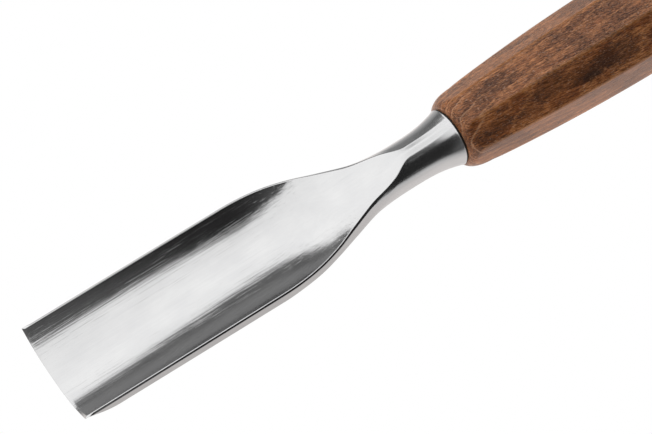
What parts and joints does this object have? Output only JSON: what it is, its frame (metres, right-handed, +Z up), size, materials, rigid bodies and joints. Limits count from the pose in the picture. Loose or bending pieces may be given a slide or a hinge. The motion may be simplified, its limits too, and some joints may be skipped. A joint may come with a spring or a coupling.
{
  "type": "carving gouge",
  "caption": "Wide carving gouge: hollow steel blade with outside bevel, round neck and bolster, octagonal wooden handle on a tang.",
  "frame": {"origin": "bottom centre of the part's box, with the tool's axis level: on the lowest handle flat's plane", "axes": "+X along the tool from cutting edge to striking end, +Z up, out of the hollow of the blade"},
  "size_m": [0.2862, 0.035, 0.0308],
  "materials": {
    "blade_steel": "polished, fine lengthwise brush marks",
    "washer_leather": "dark, edge burnished",
    "ferrule_steel": "plain drawn tube",
    "handle_wood": "stained brown, satin oil finish"
  },
  "bodies": {
    "root": {"blade": "blade_steel", "bolster_washer": "washer_leather", "inner_ferrule": "ferrule_steel", "handle": "handle_wood"}
  },
  "joints": []
}
